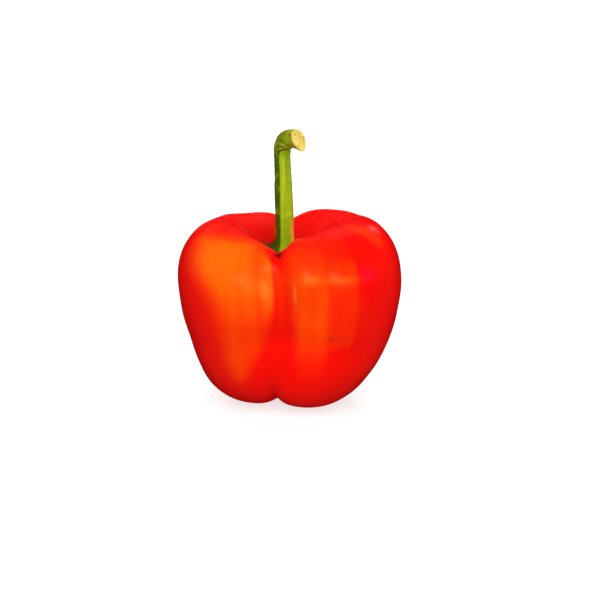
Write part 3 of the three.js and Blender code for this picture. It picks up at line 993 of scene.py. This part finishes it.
@dataclass(frozen=True)
class Stem:
    """The ribbed stem: a five-sided section carried along a line that hooks over at its top.

    Sizes are in millimetres and azimuths in degrees. Places along the stem are shares of its length,
    and a fold's place is such a share where it crosses the hook's two sides.
    """

    line: tuple[Place, ...] = (
        (0, 0, 60.7), (0.1, 0, 65), (0, 0, 72), (-0.2, 0, 81), (-0.5, 0, 90), (-0.7, 0, 97),
        (-0.4, -0.3, 100.8), (0.9, -1.8, 103.1), (3.1, -4.1, 103.6), (5.4, -6.4, 103.4))
    radii: tuple[Pair, ...] = (
        (0, 4.4), (0.06, 4), (0.16, 3.8), (0.42, 3.7), (0.6, 3.4), (0.75, 3.35), (0.82, 3.5), (0.9, 3.5),
        (1, 3.5))
    roundness: tuple[Pair, ...] = ((0, 0.6), (0.12, 0.3), (0.75, 0.3), (0.9, 0.65), (1, 0.8))
    curve_steps: int = 4000
    smooth_rings: int = 21
    length: float = 50.0
    ribs: int = 5
    rib_azimuth: float = -113.5
    twist: float = 9.0
    corner_soft: float = 0.14
    hook_heading: float = -44.0
    round_count: int = 150
    ring_count: int = 300
    cut_rings: int = 26
    fibre_count: int = 46
    fibre_height: float = 0.045
    unevenness: float = 0.08
    fold_azimuth: float = -70.0
    fold_reach: float = 1.25
    fold_tilt: float = 0.055
    fold_waver: float = 0.004
    folds: tuple[Bump, ...] = (
        Bump(0.766, 0.5, 0.013), Bump(0.822, 0.6, 0.018), Bump(0.741, -0.5, 0.01), Bump(0.793, -0.4, 0.009),
        Bump(0.856, -0.4, 0.012))
    # Painted shadow in the hook's folds, and painted highlights on the crest of each fold.
    fold_shades: tuple[Bump, ...] = (
        Bump(0.741, 1.2, 0.01), Bump(0.793, 0.8, 0.008), Bump(0.858, 0.7, 0.01))
    painted_crest_highlights: tuple[Bump, ...] = (Bump(0.768, 0.7, 0.009), Bump(0.825, 0.7, 0.013))
    crest_reach: float = 0.9
    seat: Bump = Bump(0.13, 0.07, 0.02)
    seat_rings: float = 420.0
    lip: Bump = Bump(1.0, 0.12, 0.012)
    lip_inside: Bump = Bump(1.0, 0.3, 0.12)
    lip_inside_start: Pair = (0.94, 1.0)
    lip_sides: float = 0.16
    lip_sides_start: Pair = (0.9, 1.0)
    edge_rounding: Place = (0.04, 0.12, 0.3)
    cut_slope: float = 0.55
    cut_stretch: Pair = (0.86, 1.0)
    cut_depth: float = 0.35
    cut_relief: tuple[Bump, ...] = (Bump(0.62, 0.1, 0.12), Bump(0.86, -0.06, 0.06))
    cut_waves: tuple[tuple[float, int, int], ...] = ((0.08, 5, 5), (0.05, 9, 3), (0.04, 23, 0))
    fibre_radius: float = 3.2
    fibre_stretch: float = 0.09
    ripple_radius: float = 3.0

    # The marks that the finish reads: where each one starts, grows and ends along the stem or round it.
    ridge_width: float = 0.12
    ridge_least: float = 0.45
    ridge_growth: Pair = (0.3, 0.55)
    ridge_end: Pair = (0.72, 0.8)
    ridge_share: float = 0.4
    # The dark green side, partly painted shade.
    flank_rise: Pair = (-91.0, -61.0)
    flank_fall: Pair = (-11.0, 1.0)
    flank_fade: Pair = (0.7, 0.8)
    flank_end: Pair = (0.86, 0.93)
    stripe_azimuth: float = 8.0
    stripe_swing: float = 13.0
    stripe_swing_span: Pair = (0.3, 0.6)
    stripe_width: float = 10.0
    stripe_growth: Pair = (0.35, 0.55)
    stripe_end: Pair = (0.68, 0.76)
    low_fade: Pair = (0.15, 0.5)
    dull_patch: Spot = Spot(42.0, 0.6, 9.0, 0.12, 0.7)
    # The painted orange bounce of the red fruit on the stem's foot.
    bounce_rise: Pair = (-58.0, -40.0)
    bounce_fall: Pair = (20.0, 40.0)
    bounce_end: Pair = (0.2, 0.27)
    bounce_strength: float = 0.95
    seat_shade: float = 0.3
    seat_side: Pair = (-60.0, -20.0)
    knot: Spot = Spot(-164.0, 0.972, 12.0, 0.011, 0.9)
    hook_shade: Bump = Bump(-185.0, 0.55, 38.0)
    hook_shade_rise: Pair = (0.78, 0.86)
    hook_shade_fall: Pair = (0.9, 0.98)
    hook_start: Pair = (0.72, 0.84)
    cut_start: Pair = (0.993, 0.998)
    rind_start: Pair = (0.99, 1.0)
    rind_ring: Pair = (0.88, 0.95)
    pith_ring: Bump = Bump(0.7, 1.0, 0.07)

    def centres(self, shares: Array) -> Array:
        """Points of a centripetal Catmull-Rom curve through the line, at equal shares of its length.

        Each piece between two points is blended from its four neighbours with knots that are the square
        root of the points' distances apart, and the ends are mirrored on.
        """
        points = np.array(self.line, float)
        points = np.vstack([2 * points[0] - points[1], points, 2 * points[-1] - points[-2]])
        dense = np.linspace(0, len(self.line) - 1, self.curve_steps)
        first = np.minimum(dense.astype(int), len(self.line) - 2)
        f = (dense - first)[:, None]
        p = [points[first + i] for i in range(4)]
        knots = [np.sqrt(np.linalg.norm(p[i + 1] - p[i], axis=1, keepdims=True)) for i in range(3)]
        one = (p[1] - p[0]) / knots[0] - (p[2] - p[0]) / (knots[0] + knots[1]) + (p[2] - p[1]) / knots[1]
        two = (p[2] - p[1]) / knots[1] - (p[3] - p[1]) / (knots[1] + knots[2]) + (p[3] - p[2]) / knots[2]
        one, two = one * knots[1], two * knots[1]
        curve = (p[1] + one * f + (-3 * p[1] + 3 * p[2] - 2 * one - two) * f**2
                 + (2 * p[1] - 2 * p[2] + one + two) * f**3)
        gone = np.concatenate([[0], np.cumsum(np.linalg.norm(np.diff(curve, axis=0), axis=1))])
        return np.stack([np.interp(shares * gone[-1], gone, curve[:, i]) for i in range(3)], -1)

    def frames(self, share: Array) -> tuple[Array, Array, Array, Array]:
        """The line's points at some shares, with the unit vectors along it and two ways across it."""
        centre = self.centres(share)
        along = np.gradient(centre, axis=0)
        along /= np.linalg.norm(along, axis=1, keepdims=True)
        heading = math.radians(self.hook_heading)
        steady = np.array([math.sin(heading), -math.cos(heading), 0.0])
        side = steady - along * (along @ steady)[:, None]
        side /= np.linalg.norm(side, axis=1, keepdims=True)
        return centre, along, side, np.cross(along, side)

    def to_corner(self, angle: Array) -> Array:
        """The angle from each place to the nearest rib."""
        half = math.pi / self.ribs
        return half - np.abs(np.mod(angle, 2 * half) - half)

    def fold_level(self, s: Array, azimuth: Array) -> Array:
        """The place along the stem of the fold that passes through each point: folds lean with the hook."""
        heading = math.radians(self.hook_heading)
        return s - self.fold_tilt * np.cos(azimuth - heading) - self.fold_waver * np.sin(3 * azimuth)

    def facing(self, azimuth: Array) -> Array:
        """The angle from the middle of the folds, between minus and plus pi."""
        return np.mod(azimuth - math.radians(self.fold_azimuth) + math.pi, 2 * math.pi) - math.pi

    def radius(self, s: Array, azimuth: Array) -> Array:
        """The distance of the skin from the line.

        It is the section's radius times a polygon with softened corners, partly rounded, plus fine
        fibres, the folds on the inside of the hook, faint rings at the seat and a lip at the cut.

        Args:
            s: places along the stem, as a column.
            azimuth: angles round it, as a row.

        Returns:
            The distance at each place, in millimetres.
        """
        angle = azimuth - np.radians(self.rib_azimuth + self.twist * s)
        half = math.pi / self.ribs
        to_corner, soft = self.to_corner(angle), self.corner_soft
        edge = np.hypot(to_corner, soft) - 0.5 * soft * np.exp(-to_corner / soft)
        polygon = math.cos(half) / np.cos(np.clip(half - edge, -half, half))
        shape = polygon + (1 - polygon) * np.interp(s, *zip(*self.roundness))
        kernel = np.hanning(self.smooth_rings)
        size = np.pad(np.interp(s[:, 0], *zip(*self.radii)), self.smooth_rings // 2, mode="edge")
        size = np.convolve(size, kernel / kernel.sum(), "valid")[:, None]

        # The fibres wander a little, and they come and go in three bands that drift round the stem.
        drift = 1.4 * s + 0.5 * np.sin(7 * s + 1)
        strength = 0.6 + 0.4 * np.sin(3 * angle + drift * 6)
        fibres = np.sin(self.fibre_count * (angle + 0.02 * np.sin(9 * s * math.pi))) * strength
        folds = bumps(self.fold_level(s, azimuth), self.folds)
        folds = folds * bell(self.facing(azimuth), 0, self.fold_reach)
        seat_rings = np.sin(s * self.seat_rings) * bumps(s, [self.seat])
        radius = size * shape + self.fibre_height * fibres + folds + seat_rings
        inner = 0.5 + 0.5 * np.cos(azimuth - math.radians(self.hook_heading))
        radius = radius + bumps(inner, [self.lip_inside]) * ease(s, *self.lip_inside_start)
        radius = radius - self.lip_sides * np.sin(3 * azimuth) * ease(s, *self.lip_sides_start)
        stretched = on_cylinder(azimuth, self.length * s, self.ripple_radius)
        uneven = self.unevenness * ripples(stretched, count=14, shortest=3.0, longest=9.0, seed=SEED + 2)
        radius = radius + bumps(s, [self.lip]) + uneven
        radius[-3:] -= np.array(self.edge_rounding)[:, None]
        return radius

    def marks(self, s: Array, azimuth: Array) -> dict[str, Array]:
        """What the finish needs to know on the stem's side: ribs with painted highlights on the crest of
        each fold, one side that is partly painted shade, painted shadow in the folds with a dark knot, and a
        painted bounce of the fruit's red.

        Args:
            s: places along the stem, as a column.
            azimuth: angles round it, as a row.

        Returns:
            Attributes by name.
        """
        degrees = np.degrees(np.mod(azimuth + 1.5 * math.pi, 2 * math.pi) - 1.5 * math.pi)
        leaning = degrees - self.rib_azimuth - self.twist * s
        corner = self.to_corner(azimuth - np.radians(self.rib_azimuth + self.twist * s))
        grown = self.ridge_least + (1 - self.ridge_least) * ease(s, *self.ridge_growth)
        ridge = bell(corner, 0, self.ridge_width) * grown * (1 - ease(s, *self.ridge_end))
        # One dark green side, partly painted shade.
        dark_and_shaded_flank = between(leaning, self.flank_rise, self.flank_fall) * (0.9 - 0.35 * ease(s, *self.flank_fade))
        swung = self.stripe_azimuth + self.stripe_swing * ease(s, *self.stripe_swing_span)
        stripe = bell(leaning, swung, self.stripe_width)
        stripe = stripe * (0.5 + 0.5 * ease(s, *self.stripe_growth)) * (1 - ease(s, *self.stripe_end))
        # A painted orange bounce of the red fruit on the stem's foot.
        painted_red_bounce = between(degrees, self.bounce_rise, self.bounce_fall) * (1 - ease(s, *self.bounce_end))

        level, facing = self.fold_level(s, azimuth), self.facing(azimuth)
        # Painted highlights on the crest of each fold; painted shadow in the folds, in the seat's rings and
        # on the hook's shaded side, with a dark knot.
        crest_highlights = bumps(level, self.painted_crest_highlights) * bell(facing, 0, self.crest_reach)
        fold = np.clip(bumps(level, self.fold_shades), 0, 1) * bell(facing, 0, self.fold_reach)
        seat = np.clip(np.sin(s * self.seat_rings), 0, 1) * bell(s, self.seat.middle, self.seat.half_width)
        fold = fold + self.seat_shade * seat * (1 - ease(degrees, *self.seat_side))
        fold = fold + self.knot.mask(degrees, s)
        shaded = between(s, self.hook_shade_rise, self.hook_shade_fall)
        fold = fold + bumps(degrees, [self.hook_shade]) * shaded
        return {
            "ridge": np.clip(self.ridge_share * ridge + stripe + crest_highlights, 0, 1),
            "dull": self.dull_patch.mask(leaning, s),
            "low": 1 - ease(s, *self.low_fade),
            "dark_and_shaded_flank": dark_and_shaded_flank * (1 - ease(s, *self.flank_end)),
            "hook": ease(s, *self.hook_start),
            "fold": fold,
            "painted_red_bounce": painted_red_bounce * self.bounce_strength,
            "cut": ease(s, *self.cut_start),
            "pith_ring": np.zeros_like(s),
            "rind": ease(s, *self.rind_start),
        }

    def build(self, move: Array) -> bpy.types.Object:
        """The stem as one closed mesh: rings of its radius across the line, and the cut end.

        The cut is slanted: towards the end, each ring is sheared along the stem. It is the last ring
        drawn in to the middle, as a shallow dish with a raised ring of vessels.

        Args:
            move: the move into the frame, in millimetres.

        Returns:
            The stem's object.
        """
        share = np.linspace(0, 1, self.ring_count)
        centre, along, side, other = self.frames(share)
        base = math.atan2(side[0, 1], side[0, 0])
        azimuth = (2 * math.pi * np.arange(self.round_count) / self.round_count)[None, :] + base
        s = share[:, None]
        across, beside = np.cos(azimuth - base)[..., None], np.sin(azimuth - base)[..., None]
        spokes = side[:, None, :] * across + other[:, None, :] * beside
        reach = self.radius(s, azimuth)[..., None] * spokes
        slope = self.cut_slope * ease(s, *self.cut_stretch)
        body = centre[:, None, :] + reach - along[:, None, :] * (slope * reach[..., 2])[..., None]
        body[0, :, 2] = self.line[0][2]

        inwards = np.linspace(1, 0, self.cut_rings + 1)[1:-1][:, None]
        dish = bumps(inwards, self.cut_relief) - self.cut_depth * (1 - inwards**2)
        wobble = sum(size * np.sin(lobes * azimuth + turn * inwards) for size, lobes, turn in self.cut_waves)
        end_reach = reach[-1][None] * inwards[..., None]
        height = dish + wobble * inwards - slope[-1] * end_reach[..., 2]
        cap = centre[-1] + end_reach + along[-1] * height[..., None]
        middle = centre[-1] - self.cut_depth * along[-1]

        on_cap = {"hook": 1, "cut": 1, "pith_ring": bumps(inwards, [self.pith_ring]),
                  "rind": ease(inwards, *self.rind_ring)}
        values = {
            key: np.concatenate([np.broadcast_to(value, body.shape[:2]),
                                 np.broadcast_to(on_cap.get(key, 0), cap.shape[:2])])
            for key, value in self.marks(s, azimuth).items()
        }
        fibre_place = on_cylinder(azimuth, self.length * s * self.fibre_stretch, self.fibre_radius)
        cap_place = fibre_place[-1][None] * inwards[..., None]
        values["fibre_place"] = np.concatenate([fibre_place, cap_place]) * MM
        rings = np.concatenate([body, cap]) + move
        return closed_body("stem_stalk", (centre[0] + move) * MM, rings * MM, (middle + move) * MM, values)


# ---------------------------------------------------------------------------------------------
# Studio
# ---------------------------------------------------------------------------------------------

@dataclass(frozen=True)
class Panel:
    """One soft light: where it stands, what it faces, its size in metres, power in watts and tint."""

    name: str
    stand: Place
    aim: Place
    width: float
    height: float
    power: float
    tint: Colour = (1.0, 1.0, 1.0)
    mirrored: bool = True

    def build(self) -> None:
        """Adds the light as a flat rectangle that the camera doesn't see, and gloss only if mirrored."""
        data = bpy.data.lights.new(self.name, "AREA")
        data.shape = "RECTANGLE"
        data.size, data.size_y = self.width, self.height
        data.energy = self.power
        data.color = self.tint
        made = bpy.data.objects.new(self.name, data)
        made.location = self.stand
        made.rotation_euler = (Vector(self.aim) - Vector(self.stand)).to_track_quat("-Z", "Y").to_euler()
        made.visible_camera = False
        made.visible_glossy = self.mirrored
        bpy.context.scene.collection.objects.link(made)


@dataclass(frozen=True)
class Studio:
    """The pale floor, the soft light and the camera, in metres and degrees."""

    floor_reach: float = 40.0
    sky: Colour = (1.0, 1.0, 1.0)
    sky_strength: float = 0.5
    sun_strength: float = 2.45
    sun_softness: float = 60.0
    sun_heading: Place = (-0.03, 0.8, -1.0)
    panels: tuple[Panel, ...] = (
        Panel("low_left", (-0.05, -0.33, 0.025), (-0.01, 0.0, 0.05), 0.05, 0.05, 0.09),
        Panel("low_right", (0.13, -0.33, 0.04), (0.02, 0.0, 0.05), 0.05, 0.03, 0.1),
        Panel("rear_right", (0.3, 0.42, 0.3), (0.0, 0.0, 0.05), 0.1, 0.1, 0.05),
        Panel("back", (0.15, 0.45, 0.75), (0.0, 0.0, 0.04), 0.5, 0.5, 3.0, mirrored=False),
        Panel("back_fill", (-0.2, 0.8, 0.35), (0.0, 0.0, 0.04), 0.6, 0.4, 4.0, mirrored=False),
    )
    camera_aim: Place = (0.00407, -0.0035, 0.0381)
    camera_distance: float = 0.47
    camera_elevation: float = 15.0
    camera_span: Pair = (0.01, 200.0)
    lens: float = 74.2
    sensor: float = 36.0

    def build(self) -> None:
        """Lays the floor, hangs the lights and the even sky, and sets up the camera."""
        self.lay_floor()
        self.light()
        self.set_camera()

    def lay_floor(self) -> None:
        """One flat square that neither lights the piece nor shows in its gloss."""
        reach = self.floor_reach
        corners = [(-reach, -reach, 0), (reach, -reach, 0), (reach, reach, 0), (-reach, reach, 0)]
        mesh = bpy.data.meshes.new("floor")
        mesh.from_pydata(corners, [], [(0, 1, 2, 3)])
        floor = bpy.data.objects.new("floor", mesh)
        floor.data.materials.append(FloorFinish().material())
        bpy.context.scene.collection.objects.link(floor)
        floor.visible_diffuse = False
        floor.visible_glossy = False

    def light(self) -> None:
        """An even sky and a broad sun that the gloss doesn't mirror, and the panels."""
        world = bpy.data.worlds.new("studio_sky")
        world.use_nodes = True
        backdrop = world.node_tree.nodes["Background"]
        backdrop.inputs["Color"].default_value = rgba(self.sky)
        backdrop.inputs["Strength"].default_value = self.sky_strength
        world.cycles_visibility.glossy = False
        bpy.context.scene.world = world
        sun = bpy.data.lights.new("sun", "SUN")
        sun.energy = self.sun_strength
        sun.angle = math.radians(self.sun_softness)
        overhead = bpy.data.objects.new("sun", sun)
        overhead.visible_glossy = False
        overhead.rotation_euler = Vector(self.sun_heading).to_track_quat("-Z", "Y").to_euler()
        bpy.context.scene.collection.objects.link(overhead)
        for panel in self.panels:
            panel.build()

    def set_camera(self) -> None:
        """A camera that looks down a little at the piece from the front."""
        camera = bpy.data.objects.new("camera", bpy.data.cameras.new("camera"))
        camera.data.lens = self.lens
        camera.data.sensor_width = self.sensor
        camera.data.clip_start, camera.data.clip_end = self.camera_span
        tilt = math.radians(self.camera_elevation)
        back = Vector((0.0, -math.cos(tilt), math.sin(tilt))) * self.camera_distance
        camera.location = Vector(self.camera_aim) + back
        camera.rotation_euler = (math.pi / 2 - tilt, 0.0, 0.0)
        bpy.context.scene.collection.objects.link(camera)
        bpy.context.scene.camera = camera
        bpy.context.scene.view_settings.view_transform = "Standard"


# ---------------------------------------------------------------------------------------------
# Assembly
# ---------------------------------------------------------------------------------------------

def settle(piece: bpy.types.Object, node: str, finish: bpy.types.Material) -> None:
    """Dresses a piece and puts it in the place of its solid.

    Args:
        piece: the finished mesh.
        node: the solid that it stands for.
        finish: the material.
    """
    piece.data.materials.append(finish)
    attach(piece, ROOT)
    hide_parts(node)
    LOG.info("%s stands for %s: %d faces", piece.name, node, len(piece.data.polygons))


def main() -> None:
    """Builds the pepper and its studio in order."""
    logging.basicConfig(level=logging.INFO, format="%(name)s: %(message)s")
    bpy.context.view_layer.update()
    fruit = Fruit()
    move = fruit.place_in_frame()
    LOG.info("surfaces move by %s mm", np.round(move, 2).tolist())
    settle(fruit.build(move), "fruit", SkinFinish().material())
    settle(Calyx(fruit).build(move), "calyx", CalyxFinish().material())
    settle(Stem().build(move), "stem", StemFinish().material())
    Studio().build()


if __name__ == "__main__":
    main()
